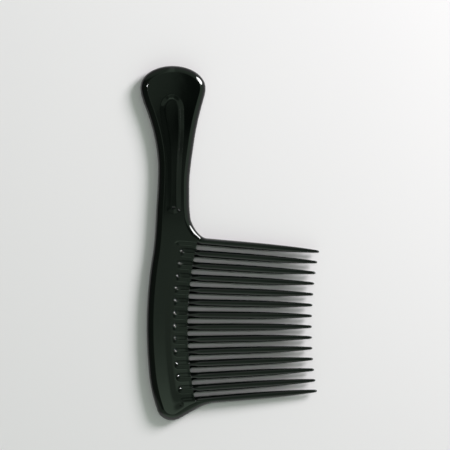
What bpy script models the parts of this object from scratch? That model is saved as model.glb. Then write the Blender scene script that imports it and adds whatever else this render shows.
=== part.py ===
import math

import bmesh
import bpy

# A one-piece moulded rake comb lying flat. X runs along the teeth, Y along the handle, Z is up.
# Lengths are in metres and places are measured from the middle of the line of tooth roots.

# Body thickness, the straight band at the parting line, and the rounded shoulder above it
THICKNESS = 0.0084
EDGE_BAND = 0.0016
SHOULDER_WIDTH = 0.0040
SHOULDER_TURN = math.radians(62)
ROUND_TURN = math.radians(90)
PROFILE_STEPS = 4

# Teeth
TOOTH_COUNT = 14
ROOT_PITCH = 0.00790
TIP_PITCH = 0.00705
TOOTH_REACH = 0.0822
ROOT_RADIUS = 0.232
TIP_RADIUS = 0.258
TOOTH_WIDTH = 0.00480
TIP_WIDTH = 0.00160
TIP_DEPTH = 0.00200
TIP_ROUND = 0.00140
STUB_LENGTH = 0.0009
WIDTH_POWER = 4.0
DEPTH_POWER = 1.35

# Low round-ended ribs that carry each tooth onto the faces of the spine, in a shallow sunk band
RIB_RISE = 0.0005
RIB_WIDTH = 0.0056
RIB_LENGTH = 0.0102
RIB_END = 0.0030
BAND_RUN = 0.0050
ROOT_ROUND = 0.0024

# Spine, its bowed back, and the round knob at its far end
SPINE_WIDTH = 0.0260
BACK_RADIUS = 0.290
BACK_TOP = 0.0456
BACK_BOTTOM = 0.0394
BULGE_RADIUS = 0.0102
BULGE_LINE_X = -0.0089
BULGE_DROP = 0.01035
BULGE_START = math.radians(195)
END_FLARE = 0.0028

# Handle
HANDLE_LINE_X = -0.0100
HANDLE_LENGTH = 0.0821
BUTT_LENGTH = 0.0137
GRIP_HALF = 0.0101
BUTT_HALF_TOOTH_SIDE = 0.0197
BUTT_HALF_BACK_SIDE = 0.0222
BUTT_CREST_SHIFT = -0.0008
FILLET_REACH = 0.0105
FILLET_RISE = 0.0138
FILLET_POWER = 1.6

# Place along the handle, then how far each side has grown from the grip to the butt
HANDLE_SHARES = [
    (0.00, 0.088, 0.075),
    (0.05, 0.04, 0.065),
    (0.155, 0.01, 0.025),
    (0.28, 0.005, 0.00),
    (0.40, 0.09, 0.008),
    (0.525, 0.22, 0.105),
    (0.65, 0.37, 0.29),
    (0.77, 0.57, 0.545),
    (0.895, 0.835, 0.865),
    (0.95, 0.955, 0.97),
    (1.00, 1.00, 1.00),
]

# Shallow dished recess in each face of the handle, wider and leaning to the back at its crown
RECESS_START = 0.0010
RECESS_LENGTH = 0.0762
RECESS_LOW_ARCH = 0.0034
RECESS_HIGH_ARCH = 0.0100
RECESS_HALF = 0.0044
RECESS_CROWN_HALF = 0.0076
RECESS_LEAN = 0.0022
RECESS_WALL_RUN = 0.0026
RECESS_DEPTH = 0.0005
CUT_OVERRUN = 0.0002

# Place along the recess between its arches, then how far it leans and how far it has widened
RECESS_SHARES = [
    (0.00, 0.00, 0.10),
    (0.15, 0.00, 0.02),
    (0.36, 0.00, 0.02),
    (0.54, 0.05, 0.17),
    (0.69, 0.16, 0.45),
    (0.80, 0.38, 0.68),
    (0.90, 0.73, 0.88),
    (1.00, 1.00, 1.00),
]

HALF = THICKNESS / 2
LAND = EDGE_BAND / 2
TOP_ORDER = (TOOTH_COUNT - 1) / 2


def arc_sag(radius, y):
    return radius - math.sqrt(radius * radius - y * y)


# The flat planes where the teeth leave the spine lie just past the outermost rounded gap root.
OUTER_GAP_Y = (TOP_ORDER - 1 / 2) * ROOT_PITCH
GAP_RADIUS = (ROOT_PITCH - TOOTH_WIDTH) / 2
STUB_X = arc_sag(ROOT_RADIUS, OUTER_GAP_Y) + GAP_RADIUS + STUB_LENGTH


def pitch(x):
    return ROOT_PITCH + (TIP_PITCH - ROOT_PITCH) * (x - STUB_X) / (TOOTH_REACH - STUB_X)


# Orders count pitches from the middle: teeth lie at halves and gaps at whole numbers.
def root_x(order):
    return arc_sag(ROOT_RADIUS, order * ROOT_PITCH)


def tip_x(order):
    return TOOTH_REACH + arc_sag(TIP_RADIUS, order * TIP_PITCH)


def tooth_run(order, x):
    return max(0, (x - STUB_X) / (tip_x(order) - STUB_X))


def tip_rounding(order, x):
    past = max(0, x - (tip_x(order) - TIP_ROUND)) / TIP_ROUND
    return math.sqrt(max(0, 1 - past * past))


def half_width(order, x):
    taper = 1 - tooth_run(order, x) ** WIDTH_POWER
    width = TIP_WIDTH + (TOOTH_WIDTH - TIP_WIDTH) * taper
    return width / 2 * tip_rounding(order, x)


def half_depth(order, x):
    taper = 1 - tooth_run(order, x) ** DEPTH_POWER
    depth = TIP_DEPTH + (THICKNESS - TIP_DEPTH) * taper
    return depth / 2 * tip_rounding(order, x)


# The upper edge of the first tooth sweeps up into the handle along one quarter of a superellipse.
def outer_edge(x):
    return TOP_ORDER * pitch(x) + half_width(TOP_ORDER, x)


def side_half(share, butt_half):
    return GRIP_HALF + share * (butt_half - GRIP_HALF)


NECK_X = HANDLE_LINE_X + side_half(HANDLE_SHARES[0][1], BUTT_HALF_TOOTH_SIDE)
FILLET_END = NECK_X + FILLET_REACH
NECK_Y = outer_edge(NECK_X) + FILLET_RISE
BUTT_Y = NECK_Y + HANDLE_LENGTH
END_Y = BUTT_Y + BUTT_LENGTH
RECESS_LOW_Y = NECK_Y + RECESS_START
RECESS_TOP_Y = RECESS_LOW_Y + RECESS_LENGTH


def fillet_lift(x):
    span = min(1, max(0, (FILLET_END - x) / FILLET_REACH))
    return FILLET_RISE * (1 - (1 - span ** FILLET_POWER) ** (1 / FILLET_POWER))


# The lower edge of the last tooth flares out and runs straight to the round knob.
BULGE_Y = BULGE_RADIUS - BULGE_DROP - outer_edge(STUB_X)
FLARE_Y = -outer_edge(STUB_X) - END_FLARE
FLARE_SPAN = math.hypot(STUB_X - BULGE_LINE_X, FLARE_Y - BULGE_Y)
FLARE_BEARING = math.atan2(BULGE_Y - FLARE_Y, BULGE_LINE_X - STUB_X)
FLARE_HEADING = FLARE_BEARING + math.asin(BULGE_RADIUS / FLARE_SPAN)
EDGE_SLOPE = TOP_ORDER * (ROOT_PITCH - TIP_PITCH) / (TOOTH_REACH - STUB_X)
FLARE_LENGTH = 2 * END_FLARE / (math.tan(FLARE_HEADING) - EDGE_SLOPE)


def flare_drop(x):
    left = max(0, 1 - (x - STUB_X) / FLARE_LENGTH)
    return END_FLARE * left * left


# Half widths of a tooth on its upper and lower sides, with the sweeps of the two end teeth
def tooth_sides(index, x):
    order = TOP_ORDER - index
    upper = half_width(order, x)
    lower = upper
    if index == 0:
        upper += fillet_lift(x)
    if index == TOOTH_COUNT - 1:
        lower += flare_drop(x)
    return upper, lower


# A rounded quarter from a straight band: shares of the way in and up, step by step
def quarter(turn):
    points = []
    for step in range(PROFILE_STEPS + 1):
        angle = turn * step / PROFILE_STEPS
        points.append(((1 - math.cos(angle)) / (1 - math.cos(turn)), math.sin(angle) / math.sin(turn)))
    return points


ROUND = quarter(ROUND_TURN)


# A smooth curve through uneven key points, with each heading weighted by the spacing on both sides
def spline(points, steps):
    last = len(points) - 1
    gaps = [math.dist(points[i], points[i + 1]) for i in range(last)]

    def heading(i, a):
        behind = max(i - 1, 0)
        ahead = min(i, last - 1)
        slope_behind = (points[behind + 1][a] - points[behind][a]) / gaps[behind]
        slope_ahead = (points[ahead + 1][a] - points[ahead][a]) / gaps[ahead]
        return (slope_behind * gaps[ahead] + slope_ahead * gaps[behind]) / (gaps[ahead] + gaps[behind])

    smooth = []
    for i in range(last):
        for step in range(steps):
            t = step / steps
            ease = t * t * (3 - 2 * t)
            leave = t * (1 - t) * (1 - t) * gaps[i]
            arrive = t * t * (t - 1) * gaps[i]
            smooth.append(tuple(
                points[i][a]
                + ease * (points[i + 1][a] - points[i][a])
                + leave * heading(i, a)
                + arrive * heading(i + 1, a)
                for a in range(2)
            ))
    smooth.append(points[-1])
    return smooth


def handle_side(side, column, butt_half):
    points = []
    for row in HANDLE_SHARES:
        y = NECK_Y + row[0] * (BUTT_Y - NECK_Y)
        points.append((HANDLE_LINE_X + side * side_half(row[column], butt_half), y))
    return points


def butt_arc(side, butt_half, steps):
    crest = HANDLE_LINE_X + BUTT_CREST_SHIFT
    reach = butt_half - side * BUTT_CREST_SHIFT
    points = []
    for step in range(1, steps):
        angle = ROUND_TURN * step / steps
        points.append((crest + side * reach * math.cos(angle), BUTT_Y + (END_Y - BUTT_Y) * math.sin(angle)))
    return points


# The outline runs anticlockwise from the first tooth round the handle and back to the last tooth.
def body_outline():
    fillet = []
    fillet_steps = 8
    start_angle = math.asin(((FILLET_END - STUB_X) / FILLET_REACH) ** (FILLET_POWER / 2))
    for step in range(fillet_steps):
        angle = start_angle + (ROUND_TURN - start_angle) * step / fillet_steps
        x = FILLET_END - FILLET_REACH * math.sin(angle) ** (2 / FILLET_POWER)
        fillet.append((x, outer_edge(x) + fillet_lift(x)))
    fillet[0] = (STUB_X, outer_edge(STUB_X) + fillet_lift(STUB_X))
    tooth_side = handle_side(1, 1, BUTT_HALF_TOOTH_SIDE)
    back_side = handle_side(-1, 2, BUTT_HALF_BACK_SIDE)
    crest = [(HANDLE_LINE_X + BUTT_CREST_SHIFT, END_Y)]
    butt = butt_arc(1, BUTT_HALF_TOOTH_SIDE, 5) + crest + butt_arc(-1, BUTT_HALF_BACK_SIDE, 5)[::-1]
    handle = tooth_side + butt + back_side[::-1]
    back = []
    back_steps = 7
    for step in range(back_steps + 1):
        y = BACK_TOP - (BACK_TOP + BACK_BOTTOM) * step / back_steps
        back.append((arc_sag(BACK_RADIUS, y) - SPINE_WIDTH, y))
    bulge = []
    bulge_steps = 9
    bulge_end = FLARE_HEADING + ROUND_TURN
    for step in range(bulge_steps + 1):
        angle = BULGE_START + (bulge_end - BULGE_START) * step / bulge_steps
        bulge.append((BULGE_LINE_X + BULGE_RADIUS * math.cos(angle), BULGE_Y + BULGE_RADIUS * math.sin(angle)))
    flare = []
    flare_steps = 4
    for step in range(1, flare_steps + 1):
        share = step / flare_steps
        flare.append(tuple(bulge[-1][a] + share * ((STUB_X, FLARE_Y)[a] - bulge[-1][a]) for a in range(2)))
    flare[-1] = (STUB_X, FLARE_Y)
    spline_steps = 2
    keys = fillet + handle + back + bulge + flare
    first_neck = len(fillet) * spline_steps
    last_neck = (len(fillet) + len(handle) - 1) * spline_steps
    return spline(keys, spline_steps), first_neck, last_neck


OUTLINE, FIRST_NECK, LAST_NECK = body_outline()
LAST = len(OUTLINE) - 1
CENTRE_X = (min(p[0] for p in OUTLINE) + tip_x(TOP_ORDER)) / 2
CENTRE_Y = (min(p[1] for p in OUTLINE) + max(p[1] for p in OUTLINE)) / 2


def inward(i):
    if i == 0:
        return 0, -1
    if i == LAST:
        return 0, 1
    if i == FIRST_NECK:
        return -1, 0
    if i == LAST_NECK:
        return 1, 0
    run_x = OUTLINE[i + 1][0] - OUTLINE[i - 1][0]
    run_y = OUTLINE[i + 1][1] - OUTLINE[i - 1][1]
    run = math.hypot(run_x, run_y)
    return -run_y / run, run_x / run


# Near the teeth the shoulder widens to the crest of the end tooth and becomes fully round.
def shoulder(i):
    first_width = sum(tooth_sides(0, STUB_X)[:1])
    last_width = sum(tooth_sides(TOOTH_COUNT - 1, STUB_X)[1:])
    if i < FIRST_NECK:
        blend = 1 - i / FIRST_NECK
        end_width = first_width
    else:
        blend = max(0, 1 - math.dist(OUTLINE[i], OUTLINE[LAST]) / (STUB_X - BULGE_LINE_X))
        end_width = last_width
    width = SHOULDER_WIDTH + blend * (end_width - SHOULDER_WIDTH)
    turn = SHOULDER_TURN + blend * (ROUND_TURN - SHOULDER_TURN)
    return width, turn


# One column of points climbs from the middle plane over the band and the shoulder to the face.
def shoulder_column(i):
    x, y = OUTLINE[i]
    in_x, in_y = inward(i)
    width, turn = shoulder(i)
    column = [(x, y, 0)]
    for inset, rise in quarter(turn):
        column.append((x + in_x * width * inset, y + in_y * width * inset, LAND + (HALF - LAND) * rise))
    return column


def bridge(mesh, first, second):
    for i in range(len(first) - 1):
        corners = [first[i], first[i + 1], second[i + 1], second[i]]
        mesh.faces.new(list(dict.fromkeys(corners)))


def add_points(mesh, points):
    return [mesh.verts.new(point) for point in points]


# The lower half mirrors the upper one, and the two meet at the parting line.
def mirror_half(mesh):
    copy = bmesh.ops.duplicate(mesh, geom=mesh.verts[:] + mesh.edges[:] + mesh.faces[:])["geom"]
    for item in copy:
        if isinstance(item, bmesh.types.BMVert):
            item.co.z = -item.co.z
    bmesh.ops.reverse_faces(mesh, faces=[item for item in copy if isinstance(item, bmesh.types.BMFace)])
    middle = [vert for vert in mesh.verts if vert.co.z == 0]
    bmesh.ops.remove_doubles(mesh, verts=middle, dist=GAP_RADIUS / 1000)


def black_plastic(name):
    material = bpy.data.materials.new(name)
    material.use_nodes = True
    shader = material.node_tree.nodes["Principled BSDF"]
    shader.inputs["Base Color"].default_value = (0.010, 0.012, 0.011, 1)
    shader.inputs["Roughness"].default_value = 0.2
    shader.inputs["Metallic"].default_value = 0
    return material


def finish(mesh, name, frame):
    bmesh.ops.recalc_face_normals(mesh, faces=mesh.faces[:])
    data = bpy.data.meshes.new(name)
    mesh.to_mesh(data)
    mesh.free()
    data.shade_smooth()
    data.set_sharp_from_angle(angle=math.radians(35))
    data.materials.append(black_plastic(name + "_plastic"))
    piece = bpy.data.objects.new(name, data)
    bpy.context.scene.collection.objects.link(piece)
    piece.parent = frame
    return piece


def make_handle(frame):
    mesh = bmesh.new()
    columns = [add_points(mesh, shoulder_column(i)) for i in range(FIRST_NECK, LAST_NECK + 1)]
    for i in range(len(columns) - 1):
        bridge(mesh, columns[i], columns[i + 1])
    mesh.faces.new([column[-1] for column in columns])
    mesh.faces.new(columns[-1] + columns[0][::-1])
    mirror_half(mesh)
    return finish(mesh, "handle", frame)


def bump(reach):
    return (1 + math.cos(math.pi * min(1, max(0, reach)))) / 2


# Height of the face at a share of the way from a tooth's crest to its gap, behind the tooth roots
def relief_height(share, back):
    side = share * ROOT_PITCH / RIB_WIDTH
    past = max(0, back - RIB_LENGTH + RIB_END) / RIB_END
    rib = bump(math.hypot(side, past))
    band = bump((back - RIB_LENGTH) / BAND_RUN)
    face = HALF - RIB_RISE * band * (1 - rib)
    root = HALF - (HALF - LAND) * math.sin(ROUND_TURN * share) ** 2
    near = max(0, 1 - back / ROOT_ROUND)
    return face + (root - face) * (1 - math.sqrt(1 - near * near))


def crest_share(step):
    return 1 - ROUND[step][0]


# A row of points across the sunk band, at one distance behind the tooth roots
def band_row(mesh, back):
    row = []
    for gap in range(TOOTH_COUNT - 1):
        across = [crest_share(step) for step in range(PROFILE_STEPS, -1, -1)]
        mirrored = [2 - share for share in across[-2:0:-1]]
        for share in across + mirrored:
            order = TOP_ORDER - gap - share / 2
            x = root_x(order) - back
            row.append([x, order * pitch(x), relief_height(min(share, 2 - share), back)])
    order = TOP_ORDER - (TOOTH_COUNT - 1)
    x = root_x(order) - back
    row.append([x, order * pitch(x), HALF])
    row[0][2] = HALF
    return add_points(mesh, row)


# One side of a tooth stub, from its crest to its gap, at a share of the way to the stub's end
def stub_side(index, side, share):
    order = TOP_ORDER - index
    points = []
    for step in range(PROFILE_STEPS, -1, -1):
        out = crest_share(step)
        start = root_x(order - side * out / 2)
        x = start + share * (STUB_X - start)
        edge_start = root_x(order - side / 2)
        edge_x = edge_start + share * (STUB_X - edge_start)
        opening = 1 - min(1, (edge_x - edge_start) / GAP_RADIUS)
        closed = 1 - math.sqrt(1 - opening * opening)
        full = half_width(order, x)
        half = full + closed * (pitch(x) / 2 - full)
        if share == 1:
            x = STUB_X
            half = full
        rounded = LAND + (HALF - LAND) * ROUND[step][1]
        z = (1 - share) * relief_height(out, 0) + share * rounded
        points.append((x, order * pitch(x) - side * half * out, z))
    return points


def stub_row(mesh, index, share):
    lower = stub_side(index, 1, share) if index < TOOTH_COUNT - 1 else []
    upper = stub_side(index, -1, share) if index > 0 else []
    if not lower:
        return add_points(mesh, upper[::-1])
    return add_points(mesh, upper[:0:-1] + lower)


def drop_to_middle(mesh, vert):
    return mesh.verts.new((vert.co.x, vert.co.y, 0))


STUB_SHARES = [0.06, 0.16, 0.32, 0.6, 1.0]


def make_spine(frame):
    mesh = bmesh.new()
    band_rows = [RIB_LENGTH + BAND_RUN, RIB_LENGTH, RIB_LENGTH - RIB_END / 2, RIB_LENGTH - RIB_END]
    root_rows = [ROOT_ROUND, ROOT_ROUND / 2, ROOT_ROUND / 7, 0]
    rows = [band_row(mesh, back) for back in band_rows + root_rows]
    for i in range(len(rows) - 1):
        bridge(mesh, rows[i], rows[i + 1])
    across = 2 * PROFILE_STEPS
    last_row = rows[-1]
    gap_feet = [drop_to_middle(mesh, last_row[across * gap + PROFILE_STEPS]) for gap in range(TOOTH_COUNT - 1)]
    stubs = []
    crests = []
    for index in range(TOOTH_COUNT):
        low = max(0, across * index - PROFILE_STEPS)
        high = min(len(last_row) - 1, across * index + PROFILE_STEPS)
        before = last_row[low:high + 1]
        before_feet = [gap_feet[index - 1] if index > 0 else None]
        before_feet.append(gap_feet[index] if index < TOOTH_COUNT - 1 else None)
        crest = [before[across * index - low]]
        for share in STUB_SHARES:
            row = stub_row(mesh, index, share)
            bridge(mesh, before, row)
            feet = [None, None]
            for end in range(2):
                if before_feet[end]:
                    feet[end] = drop_to_middle(mesh, row[-end])
                    bridge(mesh, [before[-end], before_feet[end]], [row[-end], feet[end]])
            before = row
            before_feet = feet
            crest.append(row[across * index - low])
        crests.append(crest)
        stubs.append((before, before_feet))
    first = [add_points(mesh, shoulder_column(0)[:-1]) + [stubs[0][0][0]]]
    first += [add_points(mesh, shoulder_column(i)) for i in range(1, FIRST_NECK + 1)]
    last = [add_points(mesh, shoulder_column(i)) for i in range(LAST_NECK, LAST)]
    last.append(add_points(mesh, shoulder_column(LAST)[:-1]) + [stubs[-1][0][-1]])
    for columns in (first, last):
        for i in range(len(columns) - 1):
            bridge(mesh, columns[i], columns[i + 1])
    mesh.faces.new(last[0] + first[-1][::-1])
    for index, (row, feet) in enumerate(stubs):
        start = first[0][:-1] if index == 0 else [feet[0]]
        end = last[-1][-2::-1] if index == TOOTH_COUNT - 1 else [feet[1]]
        mesh.faces.new(start + row + end)
    face = [column[-1] for column in first] + [column[-1] for column in last]
    lower_crest = [row[-1] for row in rows] + crests[-1][1:]
    upper_crest = [row[0] for row in rows] + crests[0][1:]
    face += lower_crest[-2:0:-1] + rows[0][::-1] + upper_crest[1:-1]
    mesh.faces.new(face)
    mirror_half(mesh)
    return finish(mesh, "spine", frame)


TOOTH_ROW_SHARES = [0.0, 0.04, 0.10, 0.25, 0.45, 0.65, 0.80, 0.91]
TIP_STEPS = 3


# A closed ring of points round a tooth: over the upper face and back under the lower one
def tooth_ring(index, x):
    order = TOP_ORDER - index
    crest = order * pitch(x)
    upper, lower = tooth_sides(index, x)
    depth = half_depth(order, x)
    land = LAND * depth / HALF
    points = []
    for step in range(PROFILE_STEPS + 1):
        points.append((x, crest + upper * crest_share(step), land + (depth - land) * ROUND[step][1]))
    for step in range(PROFILE_STEPS - 1, -1, -1):
        points.append((x, crest - lower * crest_share(step), land + (depth - land) * ROUND[step][1]))
    return points + [(px, py, -pz) for px, py, pz in points[::-1]]


def make_tooth(index, frame):
    order = TOP_ORDER - index
    end = tip_x(order)
    reach = end - TIP_ROUND - STUB_X
    places = [STUB_X + share * reach for share in TOOTH_ROW_SHARES]
    for step in range(TIP_STEPS):
        places.append(end - TIP_ROUND * (1 - math.sin(ROUND_TURN * step / TIP_STEPS)))
    mesh = bmesh.new()
    rings = [add_points(mesh, tooth_ring(index, x)) for x in places]
    for i in range(len(rings) - 1):
        bridge(mesh, rings[i] + rings[i][:1], rings[i + 1] + rings[i + 1][:1])
    mesh.faces.new(rings[0])
    point = mesh.verts.new((end, order * pitch(end), 0))
    for i, vert in enumerate(rings[-1]):
        mesh.faces.new([vert, rings[-1][(i + 1) % len(rings[-1])], point])
    return finish(mesh, "tooth_%02d" % (index + 1), frame)


def recess_side(side):
    points = []
    low = RECESS_LOW_Y + RECESS_LOW_ARCH
    high = RECESS_TOP_Y - RECESS_HIGH_ARCH
    for place, lean, growth in RECESS_SHARES:
        centre = HANDLE_LINE_X - lean * RECESS_LEAN
        half = RECESS_HALF + growth * (RECESS_CROWN_HALF - RECESS_HALF)
        points.append((centre + side * half, low + place * (high - low)))
    return spline(points, 2)


# Points inside an arch that joins the ends of two sides
def recess_arch(start, end, rise, steps):
    centre = (start[0] + end[0]) / 2
    half = (start[0] - end[0]) / 2
    points = []
    for step in range(1, steps):
        angle = 2 * ROUND_TURN * step / steps
        points.append((centre + half * math.cos(angle), start[1] + rise * math.sin(angle)))
    return points


def recess_outline():
    tooth_side = recess_side(1)
    back_side = recess_side(-1)[::-1]
    crown = recess_arch(tooth_side[-1], back_side[0], RECESS_HIGH_ARCH, 12)
    foot = recess_arch(back_side[-1], tooth_side[0], -RECESS_LOW_ARCH, 10)
    return tooth_side + crown + back_side + foot


def offset_loop(points, inset):
    moved = []
    for i, point in enumerate(points):
        before = points[i - 1]
        after = points[(i + 1) % len(points)]
        run = math.dist(before, after)
        in_x = (before[1] - after[1]) / run
        in_y = (after[0] - before[0]) / run
        moved.append((point[0] + in_x * inset, point[1] + in_y * inset))
    return moved


def make_recess_cutter(name, side, frame):
    mesh = bmesh.new()
    outline = recess_outline()
    slope = RECESS_WALL_RUN / RECESS_DEPTH
    levels = [(-slope * CUT_OVERRUN, HALF + CUT_OVERRUN), (RECESS_WALL_RUN, HALF - RECESS_DEPTH)]
    rings = []
    for inset, z in levels:
        rings.append(add_points(mesh, [(x, y, side * z) for x, y in offset_loop(outline, inset)]))
    bridge(mesh, rings[0] + rings[0][:1], rings[1] + rings[1][:1])
    mesh.faces.new(rings[0])
    mesh.faces.new(rings[1])
    cutter = finish(mesh, name, frame)
    cutter.hide_render = True
    cutter.display_type = "WIRE"
    return cutter


def cut(piece, cutter):
    boolean = piece.modifiers.new(cutter.name, "BOOLEAN")
    boolean.operation = "DIFFERENCE"
    boolean.solver = "EXACT"
    boolean.object = cutter


def main():
    for item in list(bpy.data.objects):
        bpy.data.objects.remove(item, do_unlink=True)
    frame = bpy.data.objects.new("comb_frame", None)
    frame.location = (-CENTRE_X, -CENTRE_Y, HALF)
    bpy.context.scene.collection.objects.link(frame)
    handle = make_handle(frame)
    make_spine(frame)
    for index in range(TOOTH_COUNT):
        make_tooth(index, frame)
    upper_cutter = make_recess_cutter("upper_recess", 1, frame)
    lower_cutter = make_recess_cutter("lower_recess", -1, frame)
    cut(handle, upper_cutter)
    cut(handle, lower_cutter)


main()
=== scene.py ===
import math

import bmesh
import bpy
from mathutils import Matrix, Vector


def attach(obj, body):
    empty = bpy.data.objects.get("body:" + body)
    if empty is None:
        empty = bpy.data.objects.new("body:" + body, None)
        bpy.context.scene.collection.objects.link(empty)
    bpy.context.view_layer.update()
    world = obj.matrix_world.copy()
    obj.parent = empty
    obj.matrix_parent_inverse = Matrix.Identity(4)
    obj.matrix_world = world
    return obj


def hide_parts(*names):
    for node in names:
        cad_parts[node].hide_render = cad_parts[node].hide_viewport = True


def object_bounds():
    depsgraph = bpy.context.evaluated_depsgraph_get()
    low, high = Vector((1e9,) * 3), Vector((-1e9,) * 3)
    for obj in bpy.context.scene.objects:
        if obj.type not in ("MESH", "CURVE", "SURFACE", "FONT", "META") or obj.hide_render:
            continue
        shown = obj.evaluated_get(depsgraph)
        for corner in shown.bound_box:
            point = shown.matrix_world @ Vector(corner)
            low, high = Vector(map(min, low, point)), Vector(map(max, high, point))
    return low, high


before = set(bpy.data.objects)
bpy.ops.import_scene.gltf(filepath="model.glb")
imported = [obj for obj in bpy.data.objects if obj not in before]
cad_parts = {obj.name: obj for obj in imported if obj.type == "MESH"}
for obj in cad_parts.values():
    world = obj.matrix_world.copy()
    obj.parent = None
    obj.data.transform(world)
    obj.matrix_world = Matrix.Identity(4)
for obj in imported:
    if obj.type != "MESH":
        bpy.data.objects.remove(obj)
cadLow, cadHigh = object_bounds()
print("frame loaded")

quarterTurn = math.radians(90)

# lengths are in metres, from the middle of the line of tooth roots, and the teeth point along +X
body = {
    "thickness": 0.0084, "edgeBand": 0.0016, "quarterSteps": 10,
    "shoulderWidth": 0.0040, "shoulderTurn": math.radians(62),
    "creaseSoftness": 0.00025, "creaseShare": 0.9, "creaseSteps": 4,
    "flatMargin": 0.0004, "marginRun": 0.003,
    "headingSpan": 0.007, "shoulderSpan": 0.018, "creaseSpan": 0.004,  # how far an end tooth's shape reaches
}
halfThick = body["thickness"] / 2
halfBand = body["edgeBand"] / 2
quarterSteps = body["quarterSteps"]

teeth = {
    "count": 14, "rows": 72, "rootPitch": 0.0079, "tipPitch": 0.00705,
    "rootRadius": 0.232, "tipRadius": 0.258,
    "reach": 0.0822, "stubLength": 0.0009, "width": 0.0048, "tipWidth": 0.0016, "tipDepth": 0.0020,
    "tipRound": 0.0014, "tipShare": 0.14, "shankPower": 1.5, "taperPower": 4.0, "thinningPower": 1.35,
    "mergeDistance": 2e-6,
}
# a tooth's order runs from topOrder at the handle to -topOrder at the knob
topOrder = (teeth["count"] - 1) / 2


def arcSag(radius, y):
    return radius - math.sqrt(radius * radius - y * y)


gapRadius = (teeth["rootPitch"] - teeth["width"]) / 2
stubX = arcSag(teeth["rootRadius"], (topOrder - 0.5) * teeth["rootPitch"]) + gapRadius + teeth["stubLength"]


def pitchAt(x):
    run = teeth["reach"] - stubX
    return teeth["rootPitch"] + (teeth["tipPitch"] - teeth["rootPitch"]) * (x - stubX) / run


def rootX(order):
    return arcSag(teeth["rootRadius"], order * teeth["rootPitch"])


def tipX(order):
    return teeth["reach"] + arcSag(teeth["tipRadius"], order * teeth["tipPitch"])


def halfWidth(order, x):
    run = max(0, (x - stubX) / (tipX(order) - stubX))
    taper = 1 - run ** teeth["taperPower"]
    return (teeth["tipWidth"] + (teeth["width"] - teeth["tipWidth"]) * taper) / 2


def outerEdge(x):
    return topOrder * pitchAt(x) + halfWidth(topOrder, x)


handle = {
    "lineX": -0.0100, "length": 0.0821, "buttLength": 0.0137, "gripHalf": 0.0101, "toothSide": 0.0197,
    "backSide": 0.02217, "crestShift": -0.0008, "filletReach": 0.0105, "filletRise": 0.0138,
    "filletPower": 1.6,
}
# place along the handle, then how far each side has grown from the grip to the butt
handleShares = [
    (0.00, 0.088, 0.075), (0.05, 0.04, 0.065), (0.155, 0.01, 0.025), (0.28, 0.005, 0.00), (0.40, 0.09, 0.008),
    (0.525, 0.22, 0.105), (0.65, 0.37, 0.29), (0.77, 0.57, 0.545), (0.895, 0.835, 0.865), (0.95, 0.955, 0.97),
    (1.00, 1.00, 1.00),
]


def sideHalf(share, butt):
    return handle["gripHalf"] + share * (butt - handle["gripHalf"])


neckX = handle["lineX"] + sideHalf(handleShares[0][1], handle["toothSide"])
neckY = outerEdge(neckX) + handle["filletRise"]
buttY = neckY + handle["length"]
endY = buttY + handle["buttLength"]
filletEnd = neckX + handle["filletReach"]


def filletLift(x):
    span = min(1, max(0, (filletEnd - x) / handle["filletReach"]))
    power = handle["filletPower"]
    return handle["filletRise"] * (1 - (1 - span ** power) ** (1 / power))


spine = {
    "width": 0.0260, "backRadius": 0.290, "backTop": 0.0456, "backBottom": 0.0394, "knobRadius": 0.0102,
    "knobX": -0.0089, "knobDrop": 0.01035, "knobStart": math.radians(195), "flare": 0.0028,
}
knobY = spine["knobRadius"] - spine["knobDrop"] - outerEdge(stubX)
flareY = -outerEdge(stubX) - spine["flare"]
flareSpan = math.hypot(stubX - spine["knobX"], flareY - knobY)
flareBearing = math.atan2(knobY - flareY, spine["knobX"] - stubX)
flareHeading = flareBearing + math.asin(spine["knobRadius"] / flareSpan)
edgeSlope = topOrder * (teeth["rootPitch"] - teeth["tipPitch"]) / (teeth["reach"] - stubX)
flareLength = 2 * spine["flare"] / (math.tan(flareHeading) - edgeSlope)


def ease(t):
    t = min(1, max(0, t))
    return t * t * (3 - 2 * t)


def bump(reach):
    return (1 + math.cos(math.pi * min(1, max(0, reach)))) / 2


def spline(points, steps):
    # a smooth curve through uneven points, each heading weighted by the spacing on both sides
    last = len(points) - 1
    gaps = [math.dist(points[i], points[i + 1]) for i in range(last)]

    def heading(i, a):
        behind, ahead = max(i - 1, 0), min(i, last - 1)
        slopeBehind = (points[behind + 1][a] - points[behind][a]) / gaps[behind]
        slopeAhead = (points[ahead + 1][a] - points[ahead][a]) / gaps[ahead]
        return (slopeBehind * gaps[ahead] + slopeAhead * gaps[behind]) / (gaps[ahead] + gaps[behind])

    smooth = []
    for i in range(last):
        for step in range(steps):
            t = step / steps
            smooth.append(tuple(
                points[i][a]
                + t * t * (3 - 2 * t) * (points[i + 1][a] - points[i][a])
                + t * (1 - t) * (1 - t) * gaps[i] * heading(i, a)
                + t * t * (t - 1) * gaps[i] * heading(i + 1, a)
                for a in range(2)
            ))
    smooth.append(points[-1])
    return smooth


# how many points each stretch of the outline takes, and the steps that the smooth curve adds between them
outlinePoints = {"fillet": 8, "buttQuarter": 6, "back": 8, "knob": 10, "flare": 4, "between": 6}


def filletPoints():
    count, power = outlinePoints["fillet"], handle["filletPower"]
    startAngle = math.asin(((filletEnd - stubX) / handle["filletReach"]) ** (power / 2))
    points = [(stubX, outerEdge(stubX) + filletLift(stubX))]
    for step in range(1, count):
        angle = startAngle + (quarterTurn - startAngle) * step / count
        x = filletEnd - handle["filletReach"] * math.sin(angle) ** (2 / power)
        points.append((x, outerEdge(x) + filletLift(x)))
    return points


def handleSide(side, column, butt):
    return [
        (handle["lineX"] + side * sideHalf(row[column], butt), neckY + row[0] * (buttY - neckY))
        for row in handleShares
    ]


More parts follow.
